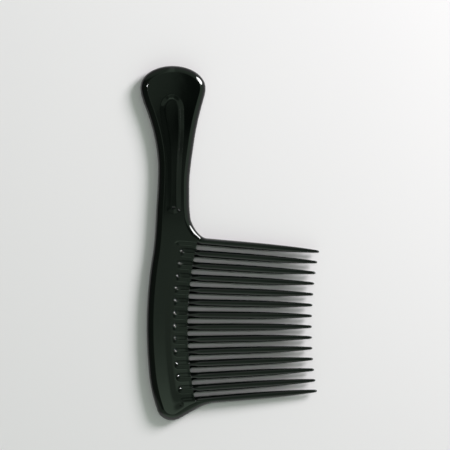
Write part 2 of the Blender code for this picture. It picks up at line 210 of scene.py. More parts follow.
def buttArc(side, butt):
    crest = handle["lineX"] + handle["crestShift"]
    reach = butt - side * handle["crestShift"]
    points = []
    for step in range(1, outlinePoints["buttQuarter"]):
        angle = quarterTurn * step / outlinePoints["buttQuarter"]
        points.append((crest + side * reach * math.cos(angle), buttY + (endY - buttY) * math.sin(angle)))
    return points


def gripPoints():
    toothSide, backSide = handle["toothSide"], handle["backSide"]
    crest = (handle["lineX"] + handle["crestShift"], endY)
    butt = buttArc(1, toothSide) + [crest] + buttArc(-1, backSide)[::-1]
    return handleSide(1, 1, toothSide) + butt + handleSide(-1, 2, backSide)[::-1]


def backPoints():
    points = []
    for step in range(outlinePoints["back"]):
        y = spine["backTop"] - (spine["backTop"] + spine["backBottom"]) * step / (outlinePoints["back"] - 1)
        points.append((arcSag(spine["backRadius"], y) - spine["width"], y))
    return points


def knobPoints():
    # round the knob, then straight out along the flare to the last tooth
    turn = flareHeading + quarterTurn - spine["knobStart"]
    points = []
    for step in range(outlinePoints["knob"]):
        angle = spine["knobStart"] + turn * step / (outlinePoints["knob"] - 1)
        x = spine["knobX"] + spine["knobRadius"] * math.cos(angle)
        points.append((x, knobY + spine["knobRadius"] * math.sin(angle)))
    startX, startY = points[-1]
    for step in range(1, outlinePoints["flare"]):
        share = step / outlinePoints["flare"]
        points.append((startX + share * (stubX - startX), startY + share * (flareY - startY)))
    return points + [(stubX, flareY)]


# anticlockwise from the first tooth, round the handle and down the back to the last tooth
outline = spline(filletPoints() + gripPoints() + backPoints() + knobPoints(), outlinePoints["between"])
lastPoint = len(outline) - 1
runFromStart = [0.0]
for i in range(lastPoint):
    runFromStart.append(runFromStart[-1] + math.dist(outline[i], outline[i + 1]))
# moves these places to where the CAD solids stand
shift = Vector((cadHigh.x - tipX(topOrder), cadHigh.y - endY, (cadLow.z + cadHigh.z) / 2))


def endBlend(i, span):
    # 1 where the outline leaves a tooth, easing to 0 a span further on; the sign tells which end
    fromStart = runFromStart[i]
    fromEnd = runFromStart[-1] - fromStart
    return (1 - ease(fromStart / span), 1) if fromStart < fromEnd else (1 - ease(fromEnd / span), -1)


def inward(i):
    before, after = outline[max(i - 1, 0)], outline[min(i + 1, lastPoint)]
    run = math.dist(before, after)
    inX, inY = (before[1] - after[1]) / run, (after[0] - before[0]) / run
    blend, side = endBlend(i, body["headingSpan"])
    inX, inY = inX * (1 - blend), inY * (1 - blend) - side * blend
    size = math.hypot(inX, inY)
    return inX / size, inY / size


firstWidth = halfWidth(topOrder, stubX) + filletLift(stubX)
lastWidth = halfWidth(topOrder, stubX) + spine["flare"]


def shoulderColumn(i):
    # from the parting line over the band and the shoulder to the flat face, softened at the crease
    x, y = outline[i]
    inX, inY = inward(i)
    blend, side = endBlend(i, body["shoulderSpan"])
    endWidth = firstWidth if side > 0 else lastWidth
    width = body["shoulderWidth"] + blend * (endWidth - body["shoulderWidth"])
    turn = body["shoulderTurn"] + blend * (quarterTurn - body["shoulderTurn"])
    profile = []
    for step in range(quarterSteps + 1):
        angle = turn * step / quarterSteps
        inset = width * (1 - math.cos(angle)) / (1 - math.cos(turn))
        profile.append((inset, halfBand + (halfThick - halfBand) * math.sin(angle) / math.sin(turn)))
    points = [(0, 0)] + profile
    if i not in (0, lastPoint):
        opened = 1 - endBlend(i, body["creaseSpan"])[0]
        soft = body["creaseSoftness"] * opened
        before, corner = points[-2], points.pop()
        near = min(1, soft / math.dist(before, corner)) * body["creaseShare"]
        start = tuple(corner[a] + near * (before[a] - corner[a]) for a in range(2))
        end = (corner[0] + soft, corner[1])
        for step in range(body["creaseSteps"] + 1):
            t = step / body["creaseSteps"]
            points.append(tuple(
                (1 - t) * (1 - t) * start[a] + 2 * t * (1 - t) * corner[a] + t * t * end[a] for a in range(2)
            ))
        points.append((corner[0] + soft + body["flatMargin"] * opened, corner[1]))
    return [(x + inX * inset, y + inY * inset, z) for inset, z in points]


class Skin:
    # gathers points, strips and the flat fill for the upper half of the moulding
    def __init__(self):
        self.mesh = bmesh.new()

    def points(self, places):
        return [self.mesh.verts.new(place) for place in places]

    def strip(self, first, second):
        for i in range(len(first) - 1):
            corners = list(dict.fromkeys([first[i], first[i + 1], second[i + 1], second[i]]))
            if len(corners) > 2:
                self.mesh.faces.new(corners)

    def strips(self, rows):
        for i in range(len(rows) - 1):
            self.strip(rows[i], rows[i + 1])

    def fill(self, loops):
        edges = []
        for loop in loops:
            for i, vert in enumerate(loop):
                after = loop[(i + 1) % len(loop)]
                edges.append(self.mesh.edges.get((vert, after)) or self.mesh.edges.new((vert, after)))
        made = bmesh.ops.triangle_fill(self.mesh, edges=edges, use_beauty=True, normal=(0, 0, 1))
        for item in made["geom"]:
            if isinstance(item, bmesh.types.BMFace):
                item.smooth = False


ribs = {
    "rise": 0.0005, "width": 0.0056, "length": 0.0102, "end": 0.0030, "bandRun": 0.0050, "rootRound": 0.0003,
    "bandSteps": 7, "endSteps": 9, "straightSteps": 4, "rootSteps": 9, "stubSteps": 16,
    # the last rib's outer side, where the band runs out into the knob
    "lastShare": 0.40, "sideFade": 0.0022, "sideGrowth": 0.0033, "growthStart": 0.0055, "growthRun": 0.0082,
    "fadeEnd": 0.0068, "fadeMargin": 0.0004, "fadeRun": 0.0010, "sideSteps": 7,
}
crestShares = [math.cos(quarterTurn * step / quarterSteps) for step in range(quarterSteps, -1, -1)]
acrossShares = crestShares + [2 - share for share in crestShares[-2:0:-1]]


def ribHeight(across, back):
    # 1 on a rib's crest, falling to 0 at its sides and at its rounded end
    past = max(0, back - ribs["length"] + ribs["end"]) / ribs["end"]
    return bump(math.hypot(across * 2 / ribs["width"], past))


def bandDepth(back):
    return bump((back - ribs["length"]) / ribs["bandRun"])


def reliefHeight(share, back, endless=False, depthShare=1):
    # the upper face beside a tooth's crest, some way back from the gap roots; an endless rib has no round end
    across = share * teeth["rootPitch"] / 2
    if endless:
        across = max(0, across - crestShares[1] * teeth["rootPitch"] / 2)
    rib = ribHeight(across, 0 if endless else back)
    face = halfThick - ribs["rise"] * depthShare * bandDepth(back) * (1 - rib)
    root = halfThick - (halfThick - halfBand) * math.sin(quarterTurn * share) ** 2
    near = max(0, 1 - back / ribs["rootRound"])
    return face + (root - face) * (1 - math.sqrt(1 - near * near))


def bandRow(back):
    row = []
    for gap in range(teeth["count"] - 1):
        for share in acrossShares:
            order = topOrder - gap - share / 2
            x = rootX(order) - back
            endless = gap == 0 and share < 1
            # the band grows shallower over the last gap
            sunk = ease(1 - share / 2) if gap == teeth["count"] - 2 else 1
            depthShare = ribs["lastShare"] + (1 - ribs["lastShare"]) * sunk
            z = reliefHeight(min(share, 2 - share), back, endless, depthShare)
            row.append((x, order * pitchAt(x), z))
    x = rootX(-topOrder) - back
    row.append((x, -topOrder * pitchAt(x), reliefHeight(0, back, False, ribs["lastShare"])))
    return row


def makeBand(skin):
    # the sunk band with its ribs, in rows from the spine's flat face to the rounded gap roots
    length, end, run, root = ribs["length"], ribs["end"], ribs["bandRun"], ribs["rootRound"]
    straight = length - end - root
    backs = [length + run + body["flatMargin"]]
    backs += [length + run * (1 - step / ribs["bandSteps"]) for step in range(ribs["bandSteps"])]
    backs += [length - end * step / ribs["endSteps"] for step in range(ribs["endSteps"])]
    backs += [root + straight * (1 - step / ribs["straightSteps"]) for step in range(ribs["straightSteps"])]
    for step in range(ribs["rootSteps"]):
        backs.append(root * (1 - math.sin(quarterTurn * step / ribs["rootSteps"])))
    backs.append(0)
    rows = [skin.points(bandRow(back)) for back in backs]
    skin.strips(rows)
    return backs, rows


def stubSide(index, side, share):
    # from a tooth's crest to its edge, on the way from the root line to the plane where the loft begins
    order = topOrder - index
    points = []
    for out in crestShares:
        start = rootX(order - side * out / 2)
        x = start + share * (stubX - start)
        edgeStart = rootX(order - side / 2)
        edgeX = edgeStart + share * (stubX - edgeStart)
        opening = 1 - min(1, (edgeX - edgeStart) / gapRadius)
        closed = 1 - math.sqrt(1 - opening * opening)
        half = halfWidth(order, x)
        half += closed * (pitchAt(x) / 2 - half)
        if share == 1:
            x, half = stubX, halfWidth(order, stubX)
        rounded = halfBand + (halfThick - halfBand) * math.sqrt(max(0, 1 - out * out))
        z = (1 - share) * reliefHeight(out, 0) + share * rounded
        points.append((x, order * pitchAt(x) - side * half * out, z))
    return points


def makeStubs(skin, rootRow):
    # the first stretch of each tooth, with the walls of the gap roots down to the parting line
    gapCount = teeth["count"] - 1

    def foot(vert):
        return skin.mesh.verts.new((vert.co.x, vert.co.y, 0))

    gapFeet = [foot(rootRow[(2 * gap + 1) * quarterSteps]) for gap in range(gapCount)]
    crests, ends = [], []
    for index in range(teeth["count"]):
        middle = 2 * quarterSteps * index
        low = max(0, middle - quarterSteps)
        before = rootRow[low:middle + quarterSteps + 1]
        feet = [gapFeet[index - 1] if index else None, gapFeet[index] if index < gapCount else None]
        crest = []
        for step in range(1, ribs["stubSteps"] + 1):
            share = (step / ribs["stubSteps"]) ** 2
            upper = stubSide(index, -1, share) if index else []
            lower = stubSide(index, 1, share) if index < gapCount else []
            row = skin.points(upper[:0:-1] + lower if lower else upper[::-1])
            skin.strip(before, row)
            newFeet = [None, None]
            for end in range(2):
                if feet[end]:
                    newFeet[end] = foot(row[-end])
                    skin.strip([before[-end], feet[end]], [row[-end], newFeet[end]])
            before, feet = row, newFeet
            crest.append(row[middle - low])
        crests.append(crest)
        ends.append(before)
    return crests, ends


def makeShoulders(skin, ends):
    # columns all round the outline; the first and the last share an end tooth's crest in place of a crease
    columns = []
    for i in range(lastPoint + 1):
        places = shoulderColumn(i)
        if i in (0, lastPoint):
            crest = ends[0][0] if i == 0 else ends[-1][-1]
            columns.append(skin.points(places[:-1]) + [crest] * (body["creaseSteps"] + 2))
        else:
            columns.append(skin.points(places))
    skin.strips(columns)
    return [column[-1] for column in columns]


def marginBeside(skin, crest, side):
    # a flat margin beside an end tooth's crest, closing to nothing at the tooth
    margin = []
    for vert in crest[:-1]:
        off = body["flatMargin"] * ease((stubX - vert.co.x) / body["marginRun"])
        margin.append(skin.mesh.verts.new((vert.co.x, vert.co.y + side * off, halfThick)))
    return margin + [crest[-1]]


def makeLastRib(skin, backs, rows, crest):
    # the outer half of the last tooth's rib, in strands that lead away from its crest
    strands = []
    for row, back in zip(rows, backs):
        if back < ribs["fadeEnd"]:
            break
        start = row[-1]
        strand = [start]
        growth = ease((back - ribs["growthStart"]) / ribs["growthRun"])
        wide = ribs["sideFade"] + ribs["sideGrowth"] * growth
        fade = ribs["lastShare"] * ease((back - ribs["fadeEnd"] - ribs["fadeMargin"]) / ribs["fadeRun"])
        for step in range(1, ribs["sideSteps"] + 1):
            off = wide * step / (ribs["sideSteps"] - 1)
            depth = ribs["rise"] * (bandDepth(back) * bump(off / wide) * fade) * (1 - ribHeight(off, back))
            strand.append(skin.mesh.verts.new((start.co.x, start.co.y - off, halfThick - depth)))
        strands.append(strand)
    skin.strips(strands)
    lastStrand = strands[-1]
    rest = [row[-1] for row in rows[len(strands) - 1:]] + crest
    margin = marginBeside(skin, rest[1:], -1)
    skin.strip(rest, [lastStrand[1]] + margin)
    return strands[0][1:-1] + [strand[-1] for strand in strands] + lastStrand[-2:0:-1] + margin


recess = {
    "start": 0.0010, "length": 0.0762, "lowArch": 0.0034, "highArch": 0.0100, "half": 0.0044,
    "crownHalf": 0.0076, "lean": 0.0022, "wallRun": 0.0026, "depth": 0.0005, "lip": 0.00015, "toe": 0.0008,
    "footShare": 0.66, "footRun": 0.016, "sideSteps": 6, "archSteps": 28, "creaseSteps": 5,
}
# place along the recess between its arches, then how far it leans and how far it has widened
recessShares = [
    (0.00, 0.00, 0.10), (0.15, 0.00, 0.02), (0.36, 0.00, 0.02), (0.54, 0.05, 0.17), (0.69, 0.16, 0.45),
    (0.80, 0.38, 0.68), (0.90, 0.73, 0.88), (1.00, 1.00, 1.00),
]
recessLow = neckY + recess["start"]


def recessLoopAt(inset):
    low = recessLow + recess["lowArch"]
    high = recessLow + recess["length"] - recess["highArch"]
    sides = []
    for side in (1, -1):
        keys = []
        for place, lean, growth in recessShares:
            half = recess["half"] + growth * (recess["crownHalf"] - recess["half"])
            centre = handle["lineX"] - lean * recess["lean"]
            keys.append((centre + side * (half - inset), low + place * (high - low)))
        sides.append(spline(keys, recess["sideSteps"]))
    right, left = sides[0], sides[1][::-1]

    def arch(start, end, rise):
        centre, half = (start[0] + end[0]) / 2, (start[0] - end[0]) / 2
        points = []
        for step in range(1, recess["archSteps"]):
            angle = 2 * quarterTurn * step / recess["archSteps"]
            points.append((centre + half * math.cos(angle), start[1] + rise * math.sin(angle)))
        return points

    crown = arch(right[-1], left[0], recess["highArch"] - inset)
    foot = arch(left[-1], right[0], inset - recess["lowArch"])
    return right + crown + left + foot


def makeRecess(skin):
    top, floor = halfThick, halfThick - recess["depth"]
    run, lip, toe = recess["wallRun"], recess["lip"], recess["toe"]
    slope = recess["depth"] / run
    creaseSteps = recess["creaseSteps"]
    profile = [(-lip - body["flatMargin"], top), (-lip, top)]
    for step in range(1, creaseSteps + 1):
        t = step / creaseSteps
        profile.append(((2 * t - 1) * lip, top - t * t * lip * slope))
    for step in range(creaseSteps + 1):
        t = step / creaseSteps
        profile.append((run + (2 * t - 1) * toe, floor + (1 - t) * (1 - t) * toe * slope))
    profile.append((run + toe + body["flatMargin"], floor))

    def sunk(x, y, z):
        # the recess grows shallower towards its foot
        share = recess["footShare"] + (1 - recess["footShare"]) * ease((y - recessLow) / recess["footRun"])
        return x, y, top - (top - z) * share

    loops = [skin.points([sunk(x, y, z) for x, y in recessLoopAt(inset)]) for inset, z in profile]
    skin.strips([loop + loop[:1] for loop in loops])
    # the floor, as rungs between matching points of its two sides
    inner = loops[-1]
    turn = recess["archSteps"] // 2
    ladder = inner[-turn:] + inner[:-turn]
    half = len(ladder) // 2
    skin.strip(ladder[:half + 1], [ladder[0]] + ladder[:half - 1:-1])
    return loops[0]


def makeBody():
    skin = Skin()
    backs, rows = makeBand(skin)
    crests, ends = makeStubs(skin, rows[-1])
    ring = makeShoulders(skin, ends)
    firstCrest = [row[0] for row in rows] + crests[0]
    firstMargin = marginBeside(skin, firstCrest, 1)
    skin.strip(firstCrest, firstMargin)
    lastMargin = makeLastRib(skin, backs, rows, crests[-1])
    outer = ring + lastMargin[::-1] + rows[0][::-1] + firstMargin[:-1]
    skin.fill([list(dict.fromkeys(outer)), makeRecess(skin)])
    print("body skin laid out")
    return skin.mesh


def nodeMaker(tree):
    # returns a helper that adds a node, sets its options and plugs in values or other sockets
    def make(kind, inputs=None, **options):
        node = tree.nodes.new(kind)
        for option, value in options.items():
            setattr(node, option, value)
        for name, value in (inputs or {}).items():
            if isinstance(value, bpy.types.NodeSocket):
                tree.links.new(value, node.inputs[name])
            else:
                node.inputs[name].default_value = value
        return node
    return make


def calc(make, operation, *values, clamp=False):
    return make("ShaderNodeMath", dict(enumerate(values)), operation=operation, use_clamp=clamp).outputs[0]


def ramp(make, value, low, high, start=0.0, stop=1.0):
    node = make("ShaderNodeMapRange", {
        "Value": value, "From Min": low, "From Max": high, "To Min": start, "To Max": stop,
    }, interpolation_type="SMOOTHSTEP")
    return node.outputs["Result"]


def teethTree(sizes):
    # lofts every tooth from one grid: rows run along the tooth, columns run round its section
    tree = bpy.data.node_groups.new("fannedTeeth", "GeometryNodeTree")
    kinds = {int: "NodeSocketInt", float: "NodeSocketFloat"}
    tree.interface.new_socket(name="Geometry", in_out="OUTPUT", socket_type="NodeSocketGeometry")
    for name, size in sizes.items():
        kind = kinds.get(type(size), "NodeSocketMaterial")
        tree.interface.new_socket(name=name, in_out="INPUT", socket_type=kind)
    make = nodeMaker(tree)
    given = make("NodeGroupInput").outputs

    def add(a, b):
        return calc(make, "ADD", a, b)

    def sub(a, b):
        return calc(make, "SUBTRACT", a, b)

    def mul(a, b):
        return calc(make, "MULTIPLY", a, b)

    def div(a, b):
        return calc(make, "DIVIDE", a, b)

    def power(a, b):
        return calc(make, "POWER", a, b)

    def above(a, b):
        return calc(make, "GREATER_THAN", a, b)

    def below(a, b):
        return calc(make, "LESS_THAN", a, b)

    def unit(a):
        return calc(make, "ADD", a, 0, clamp=True)

    def store(geometry, name, domain, value):
        inputs = {"Geometry": geometry, "Name": name, "Value": value}
        node = make("GeometryNodeStoreNamedAttribute", inputs, data_type="FLOAT", domain=domain)
        return node.outputs["Geometry"]

    def named(name):
        node = make("GeometryNodeInputNamedAttribute", {"Name": name}, data_type="FLOAT")
        return node.outputs["Attribute"]

    # one blank, a grid with its row and column numbers stored on it
    columns = add(mul(given["Quarter Steps"], 4), 5)
    grid = make("GeometryNodeMeshGrid", {
        "Size X": 1, "Size Y": 1, "Vertices X": given["Rows"], "Vertices Y": columns,
    })
    split = make("ShaderNodeSeparateXYZ", {0: make("GeometryNodeInputPosition").outputs[0]}).outputs
    blank = store(grid.outputs["Mesh"], "along", "POINT", unit(add(split["X"], 0.5)))
    column = calc(make, "ROUND", mul(add(split["Y"], 0.5), sub(columns, 1)))
    blank = store(blank, "around", "POINT", column)
    line = make("GeometryNodeMeshLine", {"Count": given["Teeth"], "Offset": (0, 0, 0)})
    place = make("GeometryNodeInstanceOnPoints", {"Points": line.outputs["Mesh"], "Instance": blank})
    index = make("GeometryNodeInputIndex").outputs[0]
    numbered = store(place.outputs["Instances"], "number", "INSTANCE", index)
    loose = make("GeometryNodeRealizeInstances", {0: numbered}).outputs[0]

    # where each point lies along its tooth
    number, along, around = named("number"), named("along"), named("around")
    order = sub(div(sub(given["Teeth"], 1), 2), number)
    sweep = mul(order, given["Tip Pitch"])
    tipRadius = given["Tip Radius"]
    sag = sub(tipRadius, calc(make, "SQRT", sub(mul(tipRadius, tipRadius), mul(sweep, sweep))))
    tip = add(given["Reach"], sag)
    plainShare = sub(1, given["Tip Share"])
    shank = power(unit(div(along, plainShare)), given["Shank Power"])
    cap = calc(make, "SINE", mul(unit(div(sub(along, plainShare), given["Tip Share"])), quarterTurn))
    shankLength = sub(sub(tip, given["Tip Round"]), given["Root Plane"])
    x = add(given["Root Plane"], add(mul(shank, shankLength), mul(cap, given["Tip Round"])))

    # its half width and half depth there, rounded off at the tip, and the pitch of the fan
    run = unit(div(sub(x, given["Root Plane"]), sub(tip, given["Root Plane"])))
    rounding = calc(make, "SQRT", calc(make, "MAXIMUM", sub(1, mul(cap, cap)), 0))
    taper = mul(sub(given["Width"], given["Tip Width"]), sub(1, power(run, given["Taper Power"])))
    width = mul(div(add(given["Tip Width"], taper), 2), rounding)
    thinning = mul(sub(given["Depth"], given["Tip Depth"]), sub(1, power(run, given["Thinning Power"])))
    depth = mul(div(add(given["Tip Depth"], thinning), 2), rounding)
    band = div(mul(given["Edge Band"], depth), given["Depth"])
    pitch = add(given["Root Pitch"], div(
        mul(sub(given["Tip Pitch"], given["Root Pitch"]), sub(x, given["Root Plane"])),
        sub(given["Reach"], given["Root Plane"]),
    ))

    # the first tooth sweeps up into the handle, the last one flares out to the knob
    span = unit(div(sub(given["Fillet End"], x), given["Fillet Reach"]))
    bend = given["Fillet Power"]
    lift = sub(1, power(sub(1, power(span, bend)), div(1, bend)))
    lift = mul(mul(lift, given["Fillet Rise"]), below(number, 0.5))
    flareLeft = unit(sub(1, div(sub(x, given["Root Plane"]), given["Flare Length"])))
    drop = mul(mul(mul(flareLeft, flareLeft), given["Flare"]), above(number, sub(given["Teeth"], 1.5)))

    # the section: from the parting line over the upper crest, the parting line and the lower crest
    # and back to its start, with a straight band between each crest and the parting line
    arc = mul(given["Quarter Steps"], 2)
    lower = above(around, add(arc, 2.5))
    sign = sub(1, mul(lower, 2))
    inHalf = sub(sub(around, 1), mul(lower, add(arc, 2)))
    inArc = mul(above(inHalf, -0.5), below(inHalf, add(arc, 0.5)))
    turn = mul(unit(div(inHalf, arc)), 2 * quarterTurn)
    out = mul(sign, calc(make, "COSINE", turn))
    rise = mul(mul(sign, calc(make, "SINE", turn)), inArc)
    sideUp = mul(calc(make, "MAXIMUM", out, 0), add(width, lift))
    sideDown = mul(calc(make, "MINIMUM", out, 0), add(width, drop))
    y = add(mul(order, pitch), add(sideUp, sideDown))
    z = add(mul(mul(sign, inArc), band), mul(rise, sub(depth, band)))
    shifted = {0: add(x, given["Shift X"]), 1: add(y, given["Shift Y"]), 2: add(z, given["Shift Z"])}
    position = make("ShaderNodeCombineXYZ", shifted).outputs[0]
    moved = make("GeometryNodeSetPosition", {"Geometry": loose, "Position": position}).outputs[0]
    merge = {"Geometry": moved, "Distance": given["Merge Distance"]}
    shape = make("GeometryNodeMergeByDistance", merge).outputs[0]
    for name in ("along", "around", "number"):
        shape = make("GeometryNodeRemoveAttribute", {"Name": name, "Geometry": shape}).outputs[0]
    shape = make("GeometryNodeRealizeInstances", {0: shape}).outputs[0]
    painted = make("GeometryNodeSetMaterial", {"Geometry": shape, "Material": given["Plastic"]}).outputs[0]
    make("NodeGroupOutput", {0: painted})
    return tree


def makeTeeth(plastic):
    sizes = {
        "Teeth": teeth["count"], "Rows": teeth["rows"], "Quarter Steps": quarterSteps, "Root Plane": stubX,
        "Root Pitch": teeth["rootPitch"], "Tip Pitch": teeth["tipPitch"], "Reach": teeth["reach"],
        "Tip Radius": teeth["tipRadius"], "Width": teeth["width"], "Tip Width": teeth["tipWidth"],
        "Depth": body["thickness"], "Tip Depth": teeth["tipDepth"], "Edge Band": body["edgeBand"],
        "Tip Round": teeth["tipRound"], "Tip Share": teeth["tipShare"], "Shank Power": teeth["shankPower"],
        "Taper Power": teeth["taperPower"], "Thinning Power": teeth["thinningPower"],
        "Fillet End": filletEnd, "Fillet Reach": handle["filletReach"], "Fillet Rise": handle["filletRise"],
        "Fillet Power": handle["filletPower"], "Flare": spine["flare"], "Flare Length": flareLength,
        "Shift X": shift.x, "Shift Y": shift.y, "Shift Z": shift.z, "Merge Distance": teeth["mergeDistance"],
        "Plastic": plastic,
    }
    tree = teethTree(sizes)
    blank = bpy.data.objects.new("teethBlank", bpy.data.meshes.new("teethBlank"))
    bpy.context.scene.collection.objects.link(blank)
    modifier = blank.modifiers.new("fannedTeeth", "NODES")
    modifier.node_group = tree
    for item in tree.interface.items_tree:
        if item.in_out == "INPUT":
            modifier[item.identifier] = sizes[item.name]
    graph = bpy.context.evaluated_depsgraph_get()
    mesh = bpy.data.meshes.new_from_object(blank.evaluated_get(graph))
    bpy.data.objects.remove(blank, do_unlink=True)
    for polygon in mesh.polygons:
        polygon.use_smooth = True
    print("teeth lofted:", len(mesh.polygons), "faces")
    return mesh


plasticLook = {
    "deep": (0.0010, 0.0014, 0.0012, 1), "pale": (0.0020, 0.0028, 0.0024, 1), "gloss": 0.05, "dull": 0.08,
    "dullRange": (0.3, 0.7), "ior": 1.55, "bumpStrength": 0.35, "bumpDistance": 0.00004,
    "flowStretch": (1, 0.25, 1),
    "flow": {"Scale": 70, "Detail": 3, "Roughness": 0.55},
    "waves": {"Scale": 140, "Detail": 1, "Roughness": 0.4}, "waveShare": 0.5,
    "grain": {"Scale": 2600, "Detail": 2, "Roughness": 0.6}, "grainShare": 0.03,
    "seamEdge": (0.00016, 0.00004), "seamShare": 2.2,
}


def mouldedSurface():
    # node group: long flow marks, fine grain and the parting line of a glossy moulding
    tree = bpy.data.node_groups.new("mouldedSurface", "ShaderNodeTree")
    for name, way, kind in (
        ("Vector", "INPUT", "NodeSocketVector"), ("Parting Height", "INPUT", "NodeSocketFloat"),
        ("Flow", "OUTPUT", "NodeSocketFloat"), ("Height", "OUTPUT", "NodeSocketFloat"),
    ):
        tree.interface.new_socket(name=name, in_out=way, socket_type=kind)
    make = nodeMaker(tree)
    given = make("NodeGroupInput").outputs

    def noise(name, vector):
        return make("ShaderNodeTexNoise", {"Vector": vector, **plasticLook[name]}).outputs["Fac"]

    stretched = make("ShaderNodeMapping", {"Vector": given["Vector"], "Scale": plasticLook["flowStretch"]})
    flow = noise("flow", stretched.outputs[0])
    height = make("ShaderNodeSeparateXYZ", {"Vector": given["Vector"]}).outputs["Z"]
    away = calc(make, "ABSOLUTE", calc(make, "SUBTRACT", height, given["Parting Height"]))
    seam = ramp(make, away, *plasticLook["seamEdge"])
    total = calc(make, "MULTIPLY", noise("waves", given["Vector"]), plasticLook["waveShare"])
    total = calc(make, "MULTIPLY_ADD", noise("grain", given["Vector"]), plasticLook["grainShare"], total)
    total = calc(make, "MULTIPLY_ADD", seam, plasticLook["seamShare"], total)
    make("NodeGroupOutput", {"Flow": flow, "Height": total})
    return tree


def blackPlastic():
    look = plasticLook
    material = bpy.data.materials.new("blackGlossPlastic")
    material.use_nodes = True
    tree = material.node_tree
    make = nodeMaker(tree)
    shader = tree.nodes["Principled BSDF"]
    shader.inputs["IOR"].default_value = look["ior"]
    surface = make("ShaderNodeGroup", node_tree=mouldedSurface())
    tree.links.new(make("ShaderNodeTexCoord").outputs["Object"], surface.inputs["Vector"])
    surface.inputs["Parting Height"].default_value = shift.z
    flow = surface.outputs["Flow"]
    # a colour mix takes its two colours on sockets 6 and 7 and gives the result on 2
    tone = make("ShaderNodeMix", {"Factor": flow, 6: look["deep"], 7: look["pale"]}, data_type="RGBA")
    tree.links.new(tone.outputs[2], shader.inputs["Base Color"])
    rough = ramp(make, flow, *look["dullRange"], look["gloss"], look["dull"])
    tree.links.new(rough, shader.inputs["Roughness"])
    bumps = make("ShaderNodeBump", {
        "Strength": look["bumpStrength"], "Distance": look["bumpDistance"],
        "Height": surface.outputs["Height"],
    })
    tree.links.new(bumps.outputs["Normal"], shader.inputs["Normal"])
    return material


# how near the middle plane or the root plane a point counts as on it, and how near two points are joined
joinReach = {"middlePlane": 1e-7, "rootPlane": 1e-6, "points": 3e-6}


def makeComb():
    plastic = blackPlastic()
    mesh = makeBody()
    # the lower half mirrors the upper one
    copy = bmesh.ops.duplicate(mesh, geom=mesh.verts[:] + mesh.edges[:] + mesh.faces[:])["geom"]
    for item in copy:
        if isinstance(item, bmesh.types.BMVert):
            item.co.z = -item.co.z
    bmesh.ops.reverse_faces(mesh, faces=[item for item in copy if isinstance(item, bmesh.types.BMFace)])
    bmesh.ops.translate(mesh, verts=mesh.verts[:], vec=shift)
    for face in mesh.faces:
        face.smooth = len(face.verts) == 4 or face.smooth
    mesh.from_mesh(makeTeeth(plastic))
    seam = []
    for vert in mesh.verts:
        onMiddle = abs(vert.co.z - shift.z) < joinReach["middlePlane"]
        if onMiddle or abs(vert.co.x - shift.x - stubX) < joinReach["rootPlane"]:
            seam.append(vert)
    bmesh.ops.remove_doubles(mesh, verts=seam, dist=joinReach["points"])
    print("open edges:", sum(len(edge.link_faces) != 2 for edge in mesh.edges))
    bmesh.ops.recalc_face_normals(mesh, faces=mesh.faces[:])
    data = bpy.data.meshes.new("comb")
    mesh.to_mesh(data)
    mesh.free()
    data.materials.clear()
    data.materials.append(plastic)
    for polygon in data.polygons:
        polygon.material_index = 0
    comb = bpy.data.objects.new("comb", data)
    bpy.context.scene.collection.objects.link(comb)
    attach(comb, "root")
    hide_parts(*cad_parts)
    print("comb made:", sum(len(polygon.vertices) - 2 for polygon in data.polygons), "triangles")


paper = {"half": 30, "gap": 0.00005, "colour": (0.836, 0.783, 0.827, 1), "roughness": 0.9}


def makeFloor():
    half, z = paper["half"], cadLow.z - paper["gap"]
    corners = [(-half, -half, z), (half, -half, z), (half, half, z), (-half, half, z)]
    data = bpy.data.meshes.new("floor")
    data.from_pydata(corners, [], [(0, 1, 2, 3)])
    floor = bpy.data.objects.new("floor", data)
    bpy.context.scene.collection.objects.link(floor)
    material = bpy.data.materials.new("palePaper")
    material.use_nodes = True
    shader = material.node_tree.nodes["Principled BSDF"]
    shader.inputs["Base Color"].default_value = paper["colour"]
    shader.inputs["Roughness"].default_value = paper["roughness"]
    data.materials.append(material)


view = {
    "place": (-0.13305, 0.0212, 0.89596), "right": (0.98948, 0.01495, 0.14392),
    "up": (-0.01337, 0.99984, -0.01196), "nearest": 0.05, "farthest": 100,
    "lens": 111.44, "sensor": 36,  # in millimetres
}


def makeCamera():
    data = bpy.data.cameras.new("camera")
    camera = bpy.data.objects.new("camera", data)
    bpy.context.scene.collection.objects.link(camera)
    data.sensor_width, data.lens = view["sensor"], view["lens"]
    data.clip_start, data.clip_end = view["nearest"], view["farthest"]
    right, up = Vector(view["right"]), Vector(view["up"])
    turn = Matrix((right, up, right.cross(up).normalized())).transposed().to_4x4()
    camera.matrix_world = Matrix.Translation(view["place"]) @ turn
    bpy.context.scene.camera = camera


# light by heading, where x and y are the parts of a heading to the teeth's side and to the butt's side;
# an edge is where a fade starts and ends, and a window is low, high and the fade outside each
room = {
    "overhead": (0.74, 1.0, 0.76, 1), "horizon": (0.90, 0.90, 0.90, 1), "castEdge": (0.30, 0.60),
    "centreEdge": (-0.02, 0.05),
    # a lighter patch and a darker strip that the butt and the handle's lands mirror
    "patchAxis": (-0.634, 0.773, 0), "patchEdge": (-0.010, -0.002), "patchSide": (0.1110, 0.1065),
    "patchStrength": 0.27,
    "stripEdge": (0.1035, 0.1005), "stripShare": 0.45, "stripWindow": (-0.004, 0.065, 0.008),
    # to the left of the middle
    "besideEdge": (-0.60, -0.80), "besideStrength": (0.32, 0.90),
    "besideUpper": ((0.042, 0.085), (0.62, 0.48)), "besideUpperStrength": 0.08,
    "besideLower": (-0.36, -0.17, 0.04), "besideLowerStrength": 0.10,
    # far to each side, which the shoulders mirror
    "farLeftLean": 0.75, "farLeftEdge": (-0.28, -0.44), "farLeftStart": (-0.25, -0.12),
    "farLeftStrength": 0.08,
    "farRightEdge": (0.52, 0.62), "farRightStrength": 0.58,
}
